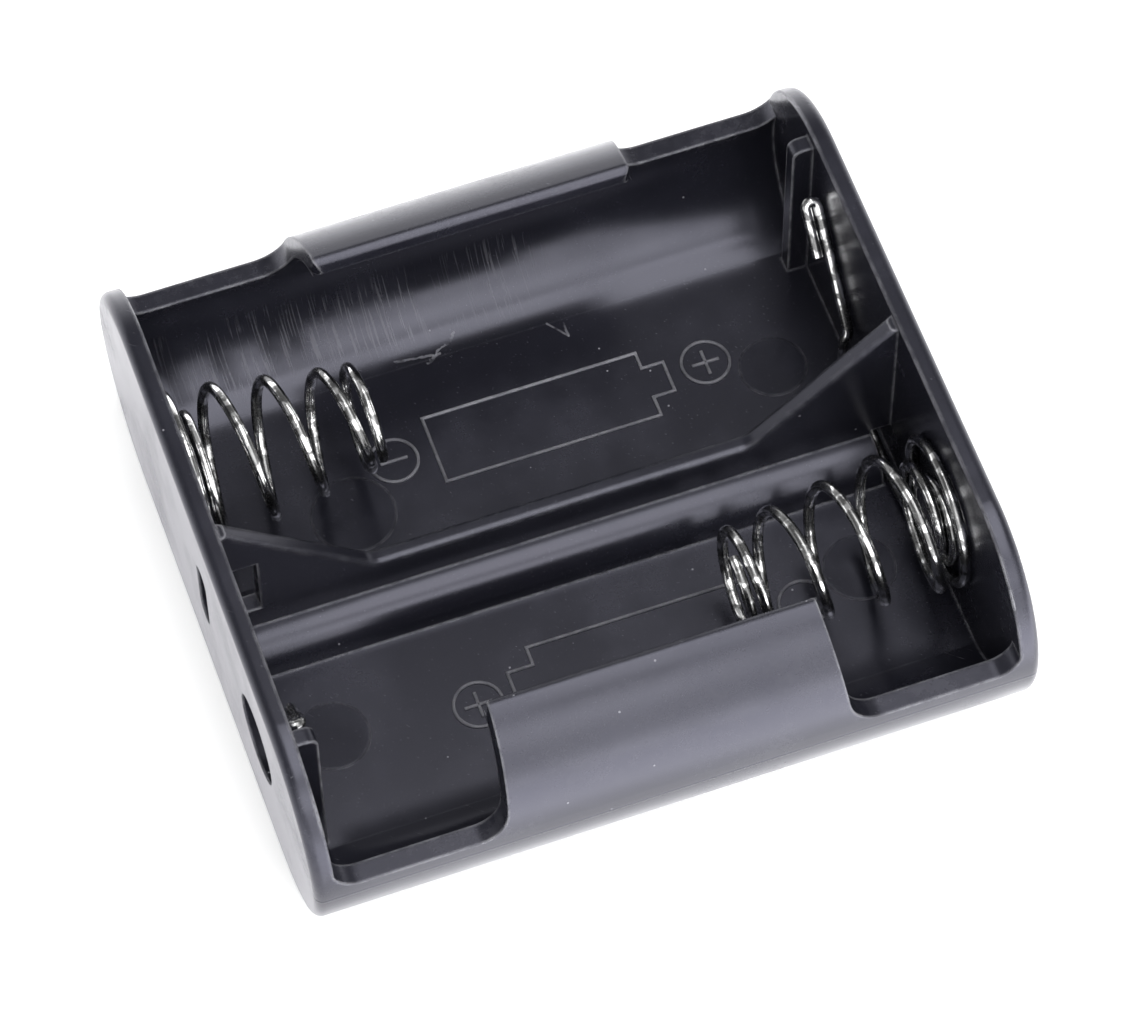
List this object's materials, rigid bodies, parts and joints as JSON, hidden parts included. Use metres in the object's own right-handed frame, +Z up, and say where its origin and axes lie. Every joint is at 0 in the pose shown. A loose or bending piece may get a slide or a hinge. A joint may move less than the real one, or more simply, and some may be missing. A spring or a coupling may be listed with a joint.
{
  "type": "cylindrical cell holder",
  "caption": "Open-top moulded holder for C-size cells side by side, with rounded end walls, retaining ears, a gusseted divider, coil springs and folded wire contacts.",
  "frame": {"origin": "middle of the flat underside", "axes": "+X along the cells, +Y across them towards the bay with the left-hand spring, +Z up"},
  "size_m": [0.0688, 0.065, 0.0238],
  "materials": {
    "tray_plastic": "black moulded plastic, satin to glossy",
    "spring_wire": "bright nickel-plated spring steel wire"
  },
  "bodies": {
    "root": {"tray": "tray_plastic", "negative_spring": "spring_wire", "positive_contact": "spring_wire", "series_link": "spring_wire"}
  },
  "joints": []
}
